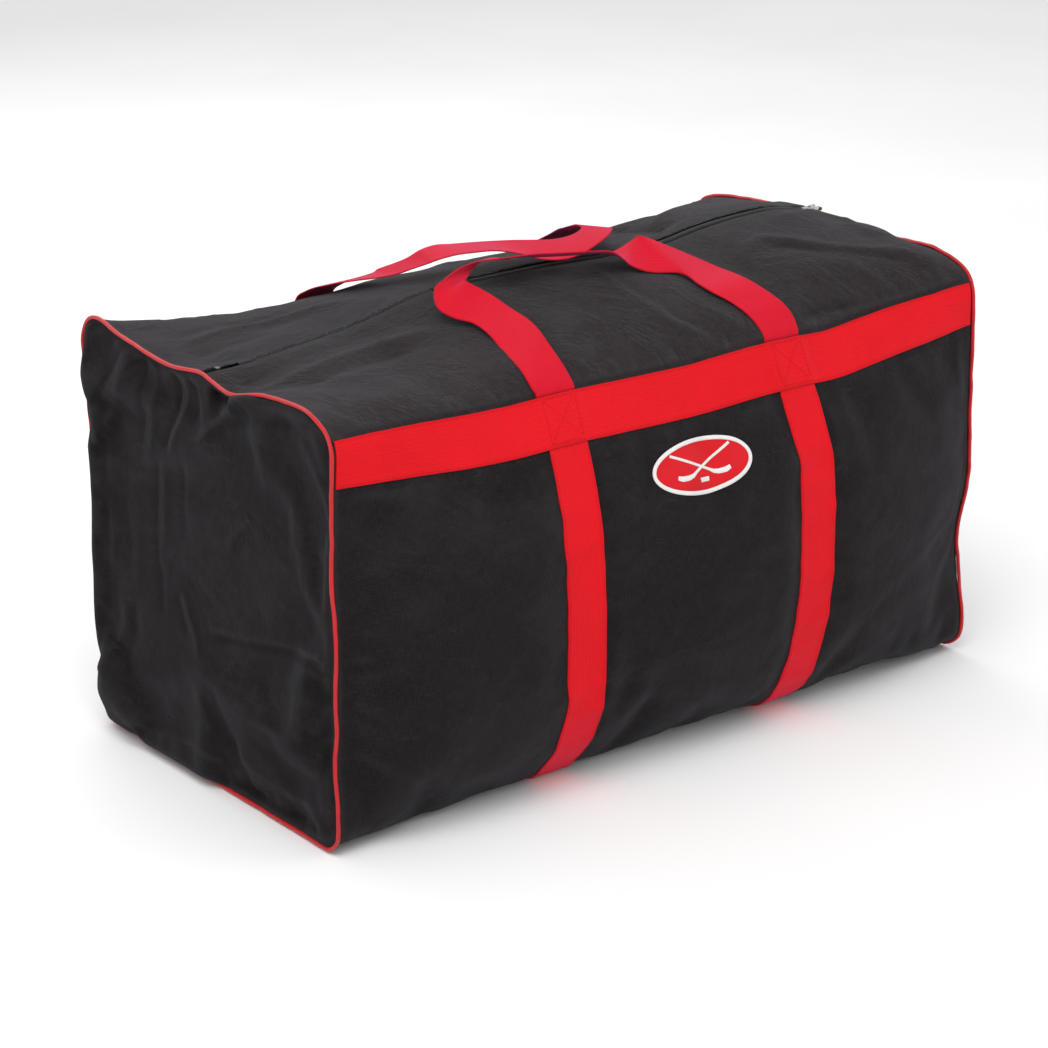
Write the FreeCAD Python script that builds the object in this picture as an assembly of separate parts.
import FreeCAD, Part
import math
import os

# Hockey equipment bag: a soft canvas box duffel with a zip along the top, 36 x 18 x 18 inch class.
# Frame: millimetres, origin on the ground under the middle of the bag,
# +X along the bag (to the right seen from the front), the front faces -Y, +Z up.

V3 = FreeCAD.Vector
SIDES = (("left", -1), ("right", 1))

# ---- driving dimensions -------------------------------------------------
PIPE_X = 446.0          # the piping rings stand at x = +-446
SIDE_X = 441.0          # the long panels stop here, inside the piping seam
PIPE_LIFT = 3.2         # height of the ends' lower edge; the piping rests on the ground
FLAT_X = 208.0          # the outline keeps its middle shape out to here
BULGE_POWER = 2.2       # how late the outline closes in towards the piping
CANVAS_T = 0.9
LAYER_GAP = 0.1         # clearance between sewn layers

WEB_W = 50.8            # 2 inch webbing
WEB_T = 1.5
STRAP_X = 158.0         # centre of each girth strap
STRAP_INNER = STRAP_X - WEB_W / 2
STRAP_OUTER = STRAP_X + WEB_W / 2
STRAP_MARGIN = 1.0      # the outline makes room this far beyond the strap's edges
STRAP_CORNER_LIFT = 1.2  # raises the canvas over the strap at the lower corner

HINGE_Y = 222.0         # fold line of each top half, along the band's top edge
HINGE_Z = 434.0
PANEL_TOP_DROP = 4.0    # top edge of the long panels, down the face from the fold line
BAND_TOP_DROP = 5.0     # top edge of the bands and straps, likewise

ZIP_Z0 = 477.0          # height of the zip over the origin
ZIP_SLOPE = 0.0485      # the zip rises towards the right end
ZIP_LIP_Y = 11.0        # folded canvas edge either side of the zip
ZIP_LIP_RISE = 1.8      # that edge over the zip's middle plane
FLAP_OUT = 430.0        # half length of the opening half along its fold line
FLAP_IN = 150.0         # half length of the opening half along the zip
SPLIT_GAP = 1.0         # gap where the opening half leaves the sewn corner
FLAP_IN_END = FLAP_IN - SPLIT_GAP / 2
CORNER_IN_END = FLAP_IN + SPLIT_GAP / 2


# ---- cross sections -----------------------------------------------------
def zip_z(x):
    return ZIP_Z0 + ZIP_SLOPE * x


# Lengthwise rows below the zip lip, over the front and down to the middle of the
# bottom: name, then (y, z) in the middle, at the left end, at the right end.
PROFILE = [
    ("top1", (-60, ZIP_Z0 + 3), (-60, 458.0), (-60, 500.2)),
    ("top2", (-120, 475), (-120, 459.5), (-120, 491)),
    ("top3", (-170, 463), (-170, 461), (-170, 480)),
    ("top4", (-196, 452), (-200, 458.5), (-200, 470)),
    ("top5", (-212, 441.5), (-216, 451), (-216, 459)),
    ("hinge", (-HINGE_Y, HINGE_Z), (-226, 438), (-227, 443)),
    ("band_bottom", (-240, 381), (-229, 390), (-231, 392)),
    ("front1", (-270, 300), (-227, 310), (-233, 310)),
    ("front2", (-276, 230), (-228, 230), (-236, 230)),
    ("front3", (-274, 150), (-226, 150), (-230, 150)),
    ("front4", (-262, 85), (-226, 85), (-228, 85)),
    ("front5", (-248, 50), (-228, 45), (-234, 45)),
    ("front6", (-232, 24), (-223, 20), (-229, 20)),
    ("front7", (-212, 7), (-209, 7), (-212, 7)),
    ("ground_edge", (-188, 0), (-188, PIPE_LIFT), (-188, PIPE_LIFT)),
    ("bottom1", (-95, 0), (-95, PIPE_LIFT), (-95, PIPE_LIFT)),
    ("bottom_middle", (0, 0), (0, PIPE_LIFT), (0, PIPE_LIFT)),
]
ZIP_SHARE = {"top1": 1.0, "top2": 0.6, "top3": 0.3}   # how far a row follows the zip's slope
GROUND_ROWS = ("ground_edge", "bottom1", "bottom_middle")

HALF_X = [0.0, 54.0, 108.0, STRAP_INNER, STRAP_X, STRAP_OUTER, FLAT_X,
          262.0, 320.0, 375.0, 415.0, FLAP_OUT, SIDE_X]
XS = [-x for x in reversed(HALF_X[1:])] + HALF_X
MIDDLE = XS.index(0.0)


def bulge(x):
    """1 in the middle of the bag, 0 at the piping."""
    t = min(max((abs(x) - FLAT_X) / (PIPE_X - FLAT_X), 0.0), 1.0)
    return 1.0 - t ** BULGE_POWER


def at_strap(x):
    return abs(abs(x) - STRAP_X) < WEB_W / 2 + STRAP_MARGIN


def section(x):
    """The front half of the outline at x: row name to (y, z), in order from the zip."""
    rows = {"lip": (-ZIP_LIP_Y, zip_z(x) + ZIP_LIP_RISE)}
    share = bulge(x)
    for name, middle, left, right in PROFILE:
        end_y, end_z = left if x < 0 else right
        middle_z = middle[1] + ZIP_SHARE.get(name, 0.0) * ZIP_SLOPE * x
        y = end_y + (middle[0] - end_y) * share
        z = end_z + (middle_z - end_z) * share
        if name == "hinge" and abs(x) <= FLAP_OUT + 0.1:
            y, z = -HINGE_Y, HINGE_Z       # the fold line is straight
        if name in GROUND_ROWS and at_strap(x):
            z = WEB_T + LAYER_GAP          # the strap lies between the canvas and the ground
        if name == "front7" and at_strap(x):
            z += STRAP_CORNER_LIFT
        if name == "band_bottom":
            hinge_y, hinge_z = rows["hinge"]
            length = math.hypot(y - hinge_y, z - hinge_z)
            for seam, drop in (("panel_top", PANEL_TOP_DROP), ("band_top", BAND_TOP_DROP)):
                t = drop / length
                rows[seam] = (hinge_y + (y - hinge_y) * t, hinge_z + (z - hinge_z) * t)
        rows[name] = (y, z)
    return rows


GRID = [list(section(x).values()) for x in XS]
ROW = {name: j for j, name in enumerate(section(0.0))}
LAST_ROW = ROW["bottom_middle"]


def flip(p):
    return V3(p.x, -p.y, p.z)


def grid_point(i, j):
    if j > LAST_ROW:           # past the middle of the bottom: mirror
        return flip(grid_point(i, 2 * LAST_ROW - j))
    return V3(XS[i], *GRID[i][j])


def grid_normal(i, j):
    """Outward normal of the outline surface at a grid point."""
    if j > LAST_ROW:
        return flip(grid_normal(i, 2 * LAST_ROW - j))
    along = grid_point(min(i + 1, len(XS) - 1), j) - grid_point(max(i - 1, 0), j)
    down = grid_point(i, j + 1) - grid_point(i, max(j - 1, 0))
    return down.cross(along).normalize()


def surface_at(x, j):
    """Point and normal on row j at any x, straight between stations."""
    k = 0
    while k < len(XS) - 2 and XS[k + 1] < x:
        k += 1
    t = (x - XS[k]) / (XS[k + 1] - XS[k])
    p, q = grid_point(k, j), grid_point(k + 1, j)
    m, n = grid_normal(k, j), grid_normal(k + 1, j)
    return p + (q - p) * t, (m + (n - m) * t).normalize()


# ---- solids from flat faces ----------------------------------------------
def solid(points, faces):
    """Solid from points and faces given as point numbers; neighbours share their edges."""
    verts = [Part.Vertex(p) for p in points]
    edges = {}

    def edge(a, b):
        key = (min(a, b), max(a, b))
        if key not in edges:
            edges[key] = Part.Edge(verts[key[0]], verts[key[1]])
        return edges[key]

    made = []
    for face in faces:
        ends = face[1:] + face[:1]
        made.append(Part.Face(Part.Wire([edge(a, b) for a, b in zip(face, ends)])))
    result = Part.Solid(Part.Shell(made))
    if result.Volume < 0:
        result.reverse()
    if not result.isValid():
        result.fix(1e-6, 1e-6, 1e-6)
    return result


def refine(shape):
    """Merge coplanar faces, unless that spoils the solid."""
    merged = shape.removeSplitter()
    same_volume = abs(merged.Volume - shape.Volume) < 1e-3 * abs(shape.Volume)
    if merged.ShapeType == "Solid" and merged.isValid() and same_volume:
        return merged
    return shape


def skin_pair(triangles, shift):
    """Outer triangles and their inner twins, whose point numbers are shift higher."""
    faces = []
    for a, b, c in triangles:
        faces += [[a, b, c], [a + shift, c + shift, b + shift]]
    return faces


def rim_wall(p, q, shift, step=1):
    """Two triangles that join outer edge p-q to its inner twin."""
    quad = [p, p + shift, q + shift, q][::step]
    return [[quad[0], quad[1], quad[2]], [quad[0], quad[2], quad[3]]]


def sheet(outer, inner):
    """Closed sheet between two equal grids of points."""
    n, m = len(outer), len(outer[0])
    shift = n * m
    triangles = []
    for i in range(n - 1):
        for j in range(m - 1):
            a = i * m + j
            b, c, d = a + m, a + m + 1, a + 1
            triangles += [[a, b, c], [a, c, d]]
    faces = skin_pair(triangles, shift)
    for i in range(n - 1):
        for j, step in ((0, 1), (m - 1, -1)):
            faces += rim_wall(i * m + j, (i + 1) * m + j, shift, step)
    for j in range(m - 1):
        for i, step in ((0, -1), (n - 1, 1)):
            faces += rim_wall(i * m + j, i * m + j + 1, shift, step)
    points = [p for grid in (outer, inner) for line in grid for p in line]
    return refine(solid(points, faces))


def layer(columns, rows, lift, thickness):
    """A sewn layer over grid columns and rows; lift(x) is its inner face's
    offset from the outline."""
    def face(extra):
        return [[grid_point(i, j) + grid_normal(i, j) * (lift(XS[i]) + extra) for j in rows]
                for i in columns]
    return sheet(face(thickness), face(0.0))


def mirror_y(shape):
    return shape.mirror(V3(0, 0, 0), V3(0, 1, 0))


os.makedirs("parts", exist_ok=True)


def save(name, *shapes):
    shape = shapes[0] if len(shapes) == 1 else Part.makeCompound(list(shapes))
    shape.exportStep("parts/%s.step" % name)


def save_front_and_back(name, *shapes):
    """Save front pieces and their mirror images; name has a %s for the side."""
    save(name % "front", *shapes)
    save(name % "back", *[mirror_y(s) for s in shapes])


ALL_COLUMNS = range(len(XS))

# ---- canvas body ----------------------------------------------------------
BOTTOM_EDGE_Y = 187.0      # just inside the front and back panels' lower edges
BOTTOM_YS = [-BOTTOM_EDGE_Y, -95.0, 0.0, 95.0, BOTTOM_EDGE_Y]


def long_panel():
    rows = range(ROW["panel_top"], ROW["ground_edge"] + 1)
    return layer(ALL_COLUMNS, rows, lambda x: -CANVAS_T, CANVAS_T)


def bottom_panel():
    def face(rise):
        return [[V3(XS[i], y, grid_point(i, LAST_ROW).z + rise) for y in BOTTOM_YS]
                for i in ALL_COLUMNS]
    return sheet(face(0.0), face(CANVAS_T))


save_front_and_back("%s_panel", long_panel())
save("bottom_panel", bottom_panel())

# ---- top halves -----------------------------------------------------------
EDGE_STEP = 1.2            # the top pieces start this far up from the fold line
FLAP_COLUMNS = [k / 4 for k in range(-4, 5)]    # shares of the flap's half length
CORNER_COLUMNS = (0.0, 0.34, 0.67, 1.0)         # shares of the way from split to side


def split_x(share):
    """Half length of the opening half; share 0 on the fold line, 1 at the zip."""
    return FLAP_OUT + (FLAP_IN - FLAP_OUT) * share


def top_piece(x_of):
    """Sheet of the front top half, zip side first; x_of(share) gives a row's x stations."""
    outer, inner = [], []
    for j in range(ROW["hinge"] + 1):
        share = (HINGE_Y - abs(GRID[MIDDLE][j][0])) / (HINGE_Y - ZIP_LIP_Y)
        outer_row, inner_row = [], []
        for x in x_of(share):
            p, normal = surface_at(x, j)
            if j == ROW["hinge"]:
                above, _ = surface_at(x, ROW["top5"])
                p = p + (above - p).normalize() * EDGE_STEP
            outer_row.append(p)
            inner_row.append(p - normal * CANVAS_T)
        outer.append(outer_row)
        inner.append(inner_row)
    return sheet(outer, inner)


def flap_stations(share):
    return [c * (split_x(share) - SPLIT_GAP / 2) for c in FLAP_COLUMNS]


def corner_stations(share, side):
    start = split_x(share) + SPLIT_GAP / 2
    return sorted(side * (start + (SIDE_X - start) * t) for t in CORNER_COLUMNS)


save_front_and_back("top_%s_half", top_piece(flap_stations))
for side_name, side in SIDES:
    corner = top_piece(lambda share: corner_stations(share, side))
    save_front_and_back("top_%s_" + side_name + "_corner", corner)

# ---- end panels, piping and seam binding ----------------------------------
CORD_R = 1.9               # piping cord
COVER_IN = 2.1             # piping cover, inside radius
COVER_OUT = 3.0            # piping cover, outside radius
SLIT = 0.15                # half the gap between the cover's two legs
LEG_T = 0.65
LEG_END = 9.5              # how far the legs reach from the cord's centre
BIND_T = 0.7
BIND_START = 6.0           # the binding's open edge, from the cord's centre
BIND_IN = SLIT + LEG_T + 0.2    # binding's inner face, clear of the legs
BIND_END = LEG_END + 0.3
SEAM_TURN = 225            # turns the seam inwards along X and into the outline

RIM_INSET = 3.8            # end panel's edge inside the piping outline
END_CENTRE_Z = 225.0
END_CENTRE_PUFF = 16.5
# rings of the end panel: size as a share of the rim, outward bulge
END_RINGS = [(1.0, 0.0), (0.9, 5.0), (0.72, 10.5), (0.5, 14.0), (0.25, 16.0)]
SAG = 0.25 / 230.0         # extra bulge share per mm below the centre


def outline(x):
    """Closed (y, z) outline of the bag's end, starting at the top middle."""
    rows = section(x)
    skipped = ("lip", "panel_top", "band_top", "bottom_middle")
    half = [p for name, p in rows.items() if name not in skipped]
    back = [(-y, z) for y, z in reversed(half)]
    return [(0.0, rows["lip"][1])] + half + [(0.0, half[-1][1])] + back


def mitres(ring):
    """Outward mitre vector at each corner, for a unit offset."""
    out = []
    for k, here in enumerate(ring):
        before, after = ring[k - 1], ring[(k + 1) % len(ring)]
        normals = []
        for start, end in ((before, here), (here, after)):
            dy, dz = end[0] - start[0], end[1] - start[1]
            length = math.hypot(dy, dz)
            normals.append((dz / length, -dy / length))
        (y1, z1), (y2, z2) = normals
        scale = 1.0 + y1 * y2 + z1 * z2
        out.append(((y1 + y2) / scale, (z1 + z2) / scale))
    return out


def ring_solid(ring, profile, end_x, side):
    """A closed profile swept round the end outline. Profile points are
    (outward along X, outward across the outline)."""
    n, k = len(ring), len(profile)
    points = [V3(end_x + side * a, y + b * my, z + b * mz)
              for (y, z), (my, mz) in zip(ring, mitres(ring)) for a, b in profile]
    faces = []
    for i in range(n):
        here, after = i * k, (i + 1) % n * k
        for q in range(k):
            q2 = (q + 1) % k
            faces.append([here + q, after + q, after + q2, here + q2])
    return solid(points, faces)


def arc(radius, start, end, steps):
    angles = [math.radians(start + (end - start) * t / steps) for t in range(steps + 1)]
    return [(radius * math.cos(a), radius * math.sin(a)) for a in angles]


def turned(points, degrees):
    c, s = math.cos(math.radians(degrees)), math.sin(math.radians(degrees))
    return [(c * u - s * v, s * u + c * v) for u, v in points]


# Profiles are drawn with the seam leaving the cord's centre along their first axis.
CORD_PROFILE = arc(CORD_R, 22.5, 337.5, 7)
COVER_PROFILE = ([(LEG_END, -SLIT), (LEG_END, -SLIT - LEG_T)]
                 + arc(COVER_OUT, -22, -338, 10)
                 + [(LEG_END, SLIT + LEG_T), (LEG_END, SLIT)]
                 + arc(COVER_IN, -353, -7, 10))
BINDING_PROFILE = [
    (BIND_START, BIND_IN), (BIND_END, BIND_IN), (BIND_END, -BIND_IN), (BIND_START, -BIND_IN),
    (BIND_START, -BIND_IN - BIND_T), (BIND_END + BIND_T, -BIND_IN - BIND_T),
    (BIND_END + BIND_T, BIND_IN + BIND_T), (BIND_START, BIND_IN + BIND_T),
]


def end_panel(ring, end_x, side):
    """Gently bulged canvas end: rings of points from the seam to the middle."""
    rim = [(y - RIM_INSET * my, z - RIM_INSET * mz)
           for (y, z), (my, mz) in zip(ring, mitres(ring))]

    def skin(inset):
        points = []
        for scale, puff in END_RINGS:
            for y, rim_z in rim:
                z = END_CENTRE_Z + (rim_z - END_CENTRE_Z) * scale
                out = puff * (1.0 + SAG * (END_CENTRE_Z - z))
                points.append(V3(end_x + side * (out - inset), y * scale, z))
        centre_x = end_x + side * (END_CENTRE_PUFF - inset)
        return points + [V3(centre_x, 0.0, END_CENTRE_Z)]

    outer = skin(0.0)
    centre, shift = len(outer) - 1, len(outer)
    n = len(rim)
    innermost = (len(END_RINGS) - 1) * n
    triangles, walls = [], []
    for k in range(n):
        k2 = (k + 1) % n
        for start in range(0, innermost, n):
            a, b, c, d = start + k, start + k2, start + n + k2, start + n + k
            triangles += [[a, b, c], [a, c, d]]
        triangles.append([innermost + k, innermost + k2, centre])
        walls += rim_wall(k, k2, shift)
    return refine(solid(outer + skin(CANVAS_T), skin_pair(triangles, shift) + walls))


for side_name, side in SIDES:
    end_x = side * PIPE_X
    ring = outline(end_x)
    for name, profile in (("piping_cord", CORD_PROFILE), ("piping_cover", COVER_PROFILE),
                          ("seam_binding", BINDING_PROFILE)):
        swept = ring_solid(ring, turned(profile, SEAM_TURN), end_x, side)
        save("%s_%s" % (side_name, name), swept)
    save("%s_end_panel" % side_name, end_panel(ring, end_x, side))

# ---- webbing: girth straps and side bands ---------------------------------
STRAP_TOP = LAYER_GAP + WEB_T      # strap's outer face over the canvas


def girth_strap(side):
    """Down the front from the band's top edge, under the bag and up the back."""
    first, last = sorted((XS.index(side * STRAP_INNER), XS.index(side * STRAP_OUTER)))
    rows = range(ROW["band_top"], 2 * LAST_ROW - ROW["band_top"] + 1)
    return layer(range(first, last + 1), rows, lambda x: LAYER_GAP, WEB_T)


def band_lift(x):
    """The band passes over the straps."""
    return STRAP_TOP + LAYER_GAP if at_strap(x) else LAYER_GAP


def side_band():
    rows = range(ROW["band_top"], ROW["band_bottom"] + 1)
    return layer(ALL_COLUMNS, rows, band_lift, WEB_T)


for side_name, side in SIDES:
    save("%s_girth_strap" % side_name, girth_strap(side))
save_front_and_back("%s_band", side_band())


# ---- flat work on the sloping front ---------------------------------------
def face_frame(upper, lower, x, share, lift):
    """Placement whose local x runs along the bag, local y up the face from lower
    to upper, and local z outward, at share of the way up."""
    rise = V3(0, upper[0] - lower[0], upper[1] - lower[1])
    up = V3(rise).normalize()
    normal = V3(1, 0, 0).cross(up)
    origin = V3(x, *lower) + rise * share + normal * lift
    return FreeCAD.Placement(FreeCAD.Matrix(1, 0, normal.x, origin.x,
                                            0, up.y, normal.y, origin.y,
                                            0, up.z, normal.z, origin.z,
                                            0, 0, 0, 1))


def placed(shape, placement):
    result = shape.copy()
    result.Placement = placement
    return result


def oval(half_x, half_y, height, z=0.0):
    ellipse = Part.Ellipse(V3(0, 0, z), half_x, half_y)
    return Part.Face(Part.Wire(ellipse.toShape())).extrude(V3(0, 0, height))


def plate(points, z, height):
    wire = Part.makePolygon([V3(x, y, z) for x, y in points + points[:1]])
    return Part.Face(wire).extrude(V3(0, 0, height))


def rectangle(length, width):
    x, y = length / 2, width / 2
    return [(-x, -y), (x, -y), (x, y), (-x, y)]


MIDDLE_SECTION = section(0.0)
BAND_TOP, BAND_BOTTOM = MIDDLE_SECTION["band_top"], MIDDLE_SECTION["band_bottom"]

# ---- oval patch between band and belly ------------------------------------
PATCH_A, PATCH_B = 64.5, 30.0      # half axes
PATCH_X = 5.0
PATCH_UP = 0.38                    # share of the way from the belly up to the band
PATCH_LIFT = 0.15
PATCH_T = 0.8
PATCH_TOP = 0.85                   # border and emblem start here, just over the base
BORDER_W, BORDER_T = 4.5, 0.7
EMBLEM_T = 0.6
PUCK_A, PUCK_B = 5.2, 3.0
PUCK_SHIFT = 13.5                  # applied ahead of the patch placement
# (x, y) outline of a hockey stick, straight shaft and short blade
STICK = [(-32, 13.2), (-30.2, 16.6), (18.5, -10.4), (31, -9.2), (33, -11.6), (31, -14.0),
         (17.4, -14.0)]


def patch_border():
    hole = oval(PATCH_A - BORDER_W, PATCH_B - BORDER_W, BORDER_T, PATCH_TOP)
    return oval(PATCH_A, PATCH_B, BORDER_T, PATCH_TOP).cut(hole)


def stick(sign):
    return plate([(sign * x, y) for x, y in STICK], PATCH_TOP, EMBLEM_T)


patch_place = face_frame(BAND_BOTTOM, MIDDLE_SECTION["front1"], PATCH_X, PATCH_UP, PATCH_LIFT)
save("patch_base", placed(oval(PATCH_A, PATCH_B, PATCH_T), patch_place))
save("patch_border", placed(patch_border(), patch_place))
puck = oval(PUCK_A, PUCK_B, EMBLEM_T, PATCH_TOP)
puck.translate(V3(0, PUCK_SHIFT, 0))
sticks = stick(1).fuse(stick(-1)).removeSplitter()
save("patch_emblem", placed(sticks, patch_place), placed(puck, patch_place))

# ---- box stitching where the band crosses each strap ----------------------
STITCH_INSET = 4.5                 # inside the edges of the crossing
STITCH_L = WEB_W - 2 * STITCH_INSET
STITCH_H = (math.hypot(BAND_TOP[0] - BAND_BOTTOM[0], BAND_TOP[1] - BAND_BOTTOM[1])
            - 2 * STITCH_INSET)
STITCH_W = 0.7                     # width of a stitched line
STITCH_T = 0.35
STITCH_LIFT = STRAP_TOP + LAYER_GAP + WEB_T + 0.05


def box_stitch():
    """A rectangle with both diagonals."""
    inner_l, inner_h = STITCH_L - 2 * STITCH_W, STITCH_H - 2 * STITCH_W
    lines = plate(rectangle(STITCH_L, STITCH_H), 0, STITCH_T)
    lines = lines.cut(plate(rectangle(inner_l, inner_h), 0, STITCH_T))
    across, up = STITCH_L - STITCH_W, STITCH_H - STITCH_W
    length = math.hypot(across, up)
    angle = math.degrees(math.atan2(up, across))
    for sign in (1, -1):
        bar = Part.makeBox(length, STITCH_W, STITCH_T, V3(-length / 2, -STITCH_W / 2, 0))
        bar.rotate(V3(0, 0, 0), V3(0, 0, 1), sign * angle)
        lines = lines.fuse(bar)
    return lines.removeSplitter()


stitch = box_stitch()
save_front_and_back("%s_box_stitching", *[
    placed(stitch, face_frame(BAND_TOP, BAND_BOTTOM, side * STRAP_X, 0.5, STITCH_LIFT))
    for _, side in SIDES])

# ---- zip tapes, teeth and stops -------------------------------------------
# Zip parts are drawn level, x along the zip and z from its middle plane, then laid on its line.
TAPE_IN, TAPE_OUT, TAPE_T = 3.5, 17.0, 0.8
TOOTH_PITCH = 3.2
TOOTH_W = TOOTH_PITCH * 0.46
TOOTH_TIP, TOOTH_ROOT, TOOTH_H = 0.5, 3.3, 2.8   # tip and bead's outer edge, across the zip
BEAD_IN = TOOTH_TIP + 1.5          # inner edge of the bead that joins the teeth
TOOTH_MARGIN = 0.1                 # teeth stay this far inside the bead's ends
ZIP_END = 428.0
TOOTH_END = 421.0
STOP_H = 3.4
TOP_STOP_L, BOTTOM_STOP_L = 4.0, 4.5
STRETCH = math.sqrt(1 + ZIP_SLOPE ** 2)          # length along the zip per mm of x
STOP_START = TOOTH_END * STRETCH + 0.5


def on_zip(shape):
    result = shape.copy()
    result.rotate(V3(0, 0, 0), V3(0, 1, 0), -math.degrees(math.atan(ZIP_SLOPE)))
    result.translate(V3(0, 0, ZIP_Z0))
    return result


def tape(x0, x1, sign):
    y0, y1 = sorted((sign * TAPE_IN, sign * TAPE_OUT))
    corner = V3(x0 * STRETCH, y0, -TAPE_T / 2)
    return on_zip(Part.makeBox((x1 - x0) * STRETCH, y1 - y0, TAPE_T, corner))


def teeth(x0, x1, sign):
    """One row of teeth on its root bead, cut as a comb; the two rows interleave."""
    x0, x1 = x0 * STRETCH, x1 * STRETCH
    shift = (0.25 if sign > 0 else 0.75) * TOOTH_PITCH
    root, tip, bead = sign * TOOTH_ROOT, sign * TOOTH_TIP, sign * BEAD_IN
    points = [(x0, root), (x0, bead)]
    for k in range(int((x1 - x0) / TOOTH_PITCH)):
        a = x0 + k * TOOTH_PITCH + shift - TOOTH_W / 2
        b = a + TOOTH_W
        if a < x0 + TOOTH_MARGIN or b > x1 - TOOTH_MARGIN:
            continue
        points += [(a, bead), (a, tip), (b, tip), (b, bead)]
    points += [(x1, bead), (x1, root)]
    return on_zip(plate(points, -TOOTH_H / 2, TOOTH_H))


def top_stop(sign):
    y = -TOOTH_ROOT if sign < 0 else TOOTH_TIP
    corner = V3(STOP_START, y, -STOP_H / 2)
    return on_zip(Part.makeBox(TOP_STOP_L, TOOTH_ROOT - TOOTH_TIP, STOP_H, corner))


def bottom_stop():
    corner = V3(-STOP_START - BOTTOM_STOP_L, -TOOTH_ROOT, -STOP_H / 2)
    return on_zip(Part.makeBox(BOTTOM_STOP_L, 2 * TOOTH_ROOT, STOP_H, corner))


for kind, build, end in (("tape", tape, ZIP_END), ("teeth", teeth, TOOTH_END)):
    for name, sign in (("front", -1), ("back", 1)):
        save("zip_%s_%s" % (kind, name), build(-FLAP_IN_END, FLAP_IN_END, sign))
    for side_name, side in SIDES:
        x0, x1 = sorted((side * CORNER_IN_END, side * end))
        save("zip_%s_%s_end" % (kind, side_name), build(x0, x1, -1), build(x0, x1, 1))
save("zip_top_stops", top_stop(-1), top_stop(1))
save("zip_bottom_stop", bottom_stop())

# ---- zip slider and pull, drawn about the slider's own middle -------------
SLIDER_PARK = 412.0                # slider position with the zip closed
PLATE_Z0, PLATE_Z1 = 1.8, 3.0      # slider plates, from and to, over and under the teeth
SLIDER_OUTLINE = [(-8, -4.0), (-2, -5.2), (6.5, -5.2), (8, -4.2),
                  (8, 4.2), (6.5, 5.2), (-2, 5.2), (-8, 4.0)]
POST_X, POST_L, POST_W = 3.2, 3.6, 0.8           # post between the plates
FLANGE_X, FLANGE_L, FLANGE_SIZE = -1.6, 8.0, 1.0
BAIL_L, BAIL_W, BAIL_H, BAIL_Z0 = 9.0, 2.2, 4.4, 2.8
BAIL_HOLE_L, BAIL_HOLE_W, BAIL_HOLE_H = 6.2, 3.0, 3.0
PIVOT_Z = 4.7                      # pull pivot height over the zip's middle plane
BAR_R = 0.75
PULL_W, PULL_T = 7.0, 1.4
ARM_X, ARM_L, ARM_W = -0.1, 8.6, 1.6
TAB_OUTLINE = [(7.4, -3.5), (9.5, -3.9), (24.0, -4.6), (27.5, -3.4), (28.5, 0.0),
               (27.5, 3.4), (24.0, 4.6), (9.5, 3.9), (7.4, 3.5)]
TAB_HOLE_X, TAB_HOLE_R = 24.2, 1.8


def zip_slider():
    plate_t = PLATE_Z1 - PLATE_Z0
    body = plate(SLIDER_OUTLINE, PLATE_Z0, plate_t)
    body = body.fuse(plate(SLIDER_OUTLINE, -PLATE_Z1, plate_t))
    post_corner = V3(POST_X, -POST_W / 2, -PLATE_Z0 - 0.2)
    body = body.fuse(Part.makeBox(POST_L, POST_W, 2 * PLATE_Z0 + 0.4, post_corner))
    for y in (-5.1, 4.1):
        for z in (0.9, -1.9):
            flange = Part.makeBox(FLANGE_L, FLANGE_SIZE, FLANGE_SIZE, V3(FLANGE_X, y, z))
            body = body.fuse(flange)
    bail = Part.makeBox(BAIL_L, BAIL_W, BAIL_H, V3(-BAIL_L / 2, -BAIL_W / 2, BAIL_Z0))
    hole_corner = V3(-BAIL_HOLE_L / 2, -BAIL_HOLE_W / 2, BAIL_Z0 + 0.2)
    bail = bail.cut(Part.makeBox(BAIL_HOLE_L, BAIL_HOLE_W, BAIL_HOLE_H, hole_corner))
    body = body.fuse(bail)
    # guards the rounding of the bail's top: if it fails, the edges stay sharp
    try:
        tops = [e for e in body.Edges if e.BoundBox.ZMin > 7.0 and e.Length > 1.5]
        body = body.makeFillet(0.5, tops)
    except Exception:
        pass
    return body.removeSplitter()


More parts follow.
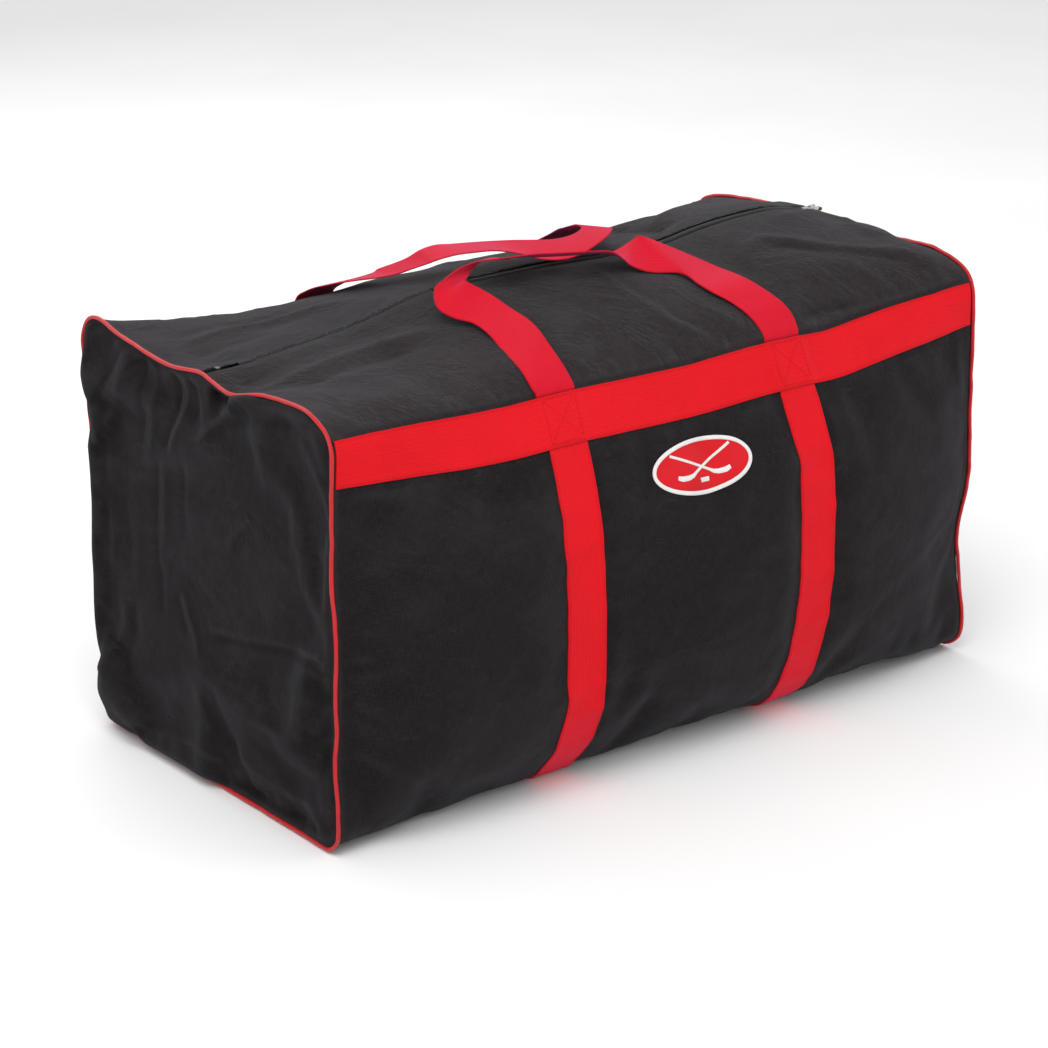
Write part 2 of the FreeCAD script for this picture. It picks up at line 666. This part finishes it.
def zip_pull():
    """Cross bar under the bail, two arms past its sides, then a plate with a hole."""
    edge_y, bottom = PULL_W / 2, -PULL_T / 2
    bar = Part.makeCylinder(BAR_R, PULL_W, V3(0, -edge_y, 0), V3(0, 1, 0))
    back_arm = Part.makeBox(ARM_L, ARM_W, PULL_T, V3(ARM_X, edge_y - ARM_W, bottom))
    front_arm = Part.makeBox(ARM_L, ARM_W, PULL_T, V3(ARM_X, -edge_y, bottom))
    hole = Part.makeCylinder(TAB_HOLE_R, 3.0, V3(TAB_HOLE_X, 0, -1.5))
    tab = plate(TAB_OUTLINE, bottom, PULL_T).cut(hole)
    pull = bar.fuse(back_arm.fuse(front_arm)).fuse(tab).removeSplitter()
    pull.rotate(V3(0, 0, 0), V3(0, 0, 1), 180)   # lies back over the zip, towards the left
    pull.translate(V3(0, 0, PIVOT_Z))
    return pull


for name, shape in (("zip_slider", zip_slider()), ("zip_pull", zip_pull())):
    shape.translate(V3(SLIDER_PARK * STRETCH, 0, 0))
    save(name, on_zip(shape))

# ---- carry handles --------------------------------------------------------
# Webbing loops that start by the fold line at each girth strap, lie up the
# top half and run side by side over the zip.
HANDLE_CLEAR = 2.2                 # handle legs over the top canvas
# One leg up to the grip: x as a share of STRAP_X, y, z of the canvas below, and how
# far the webbing has turned from running up the top to running along the zip.
LEG_STATIONS = [
    (1.0, -207.5, 450.0, 0), (1.0, -196.0, 457.0, 0),
    (1.0, -170.0, 466.5, 0), (1.0, -130.0, 480.0, 0),
    (0.985, -98.0, 493.0, 14), (0.93, -70.0, 505.0, 34),
    (0.82, -47.0, 514.0, 56), (0.66, -33.0, 520.0, 76),
]
# x, y, z and the angle of the webbing's width about +Z, 0 being along +X
GRIP_STATIONS = [(-70.0, -29.0, 525.0, -88), (-25.0, -28.0, 527.0, -90),
                 (25.0, -28.0, 527.0, -90), (70.0, -29.0, 525.0, -92)]


def handle_path():
    left = [(-STRAP_X * share, y, z + HANDLE_CLEAR, -turn) for share, y, z, turn in LEG_STATIONS]
    right = [(STRAP_X * share, y, z + HANDLE_CLEAR, turn - 180)
             for share, y, z, turn in reversed(LEG_STATIONS)]
    return left + GRIP_STATIONS + right


def handle(stations):
    middles = [V3(x, y, z) for x, y, z, _ in stations]
    outer, inner = [], []
    for k, middle in enumerate(middles):
        angle = math.radians(stations[k][3])
        run = (middles[min(k + 1, len(middles) - 1)] - middles[max(k - 1, 0)]).normalize()
        width = V3(math.cos(angle), math.sin(angle), 0.0)
        width = (width - run * run.dot(width)).normalize()
        normal = width.cross(run).normalize()
        if normal.z < 0:
            normal = normal * -1
        line = [middle + width * (s * WEB_W / 2) for s in (-1, 0, 1)]
        outer.append([p + normal * WEB_T for p in line])
        inner.append(line)
    return sheet(outer, inner)


save_front_and_back("%s_handle", handle(handle_path()))
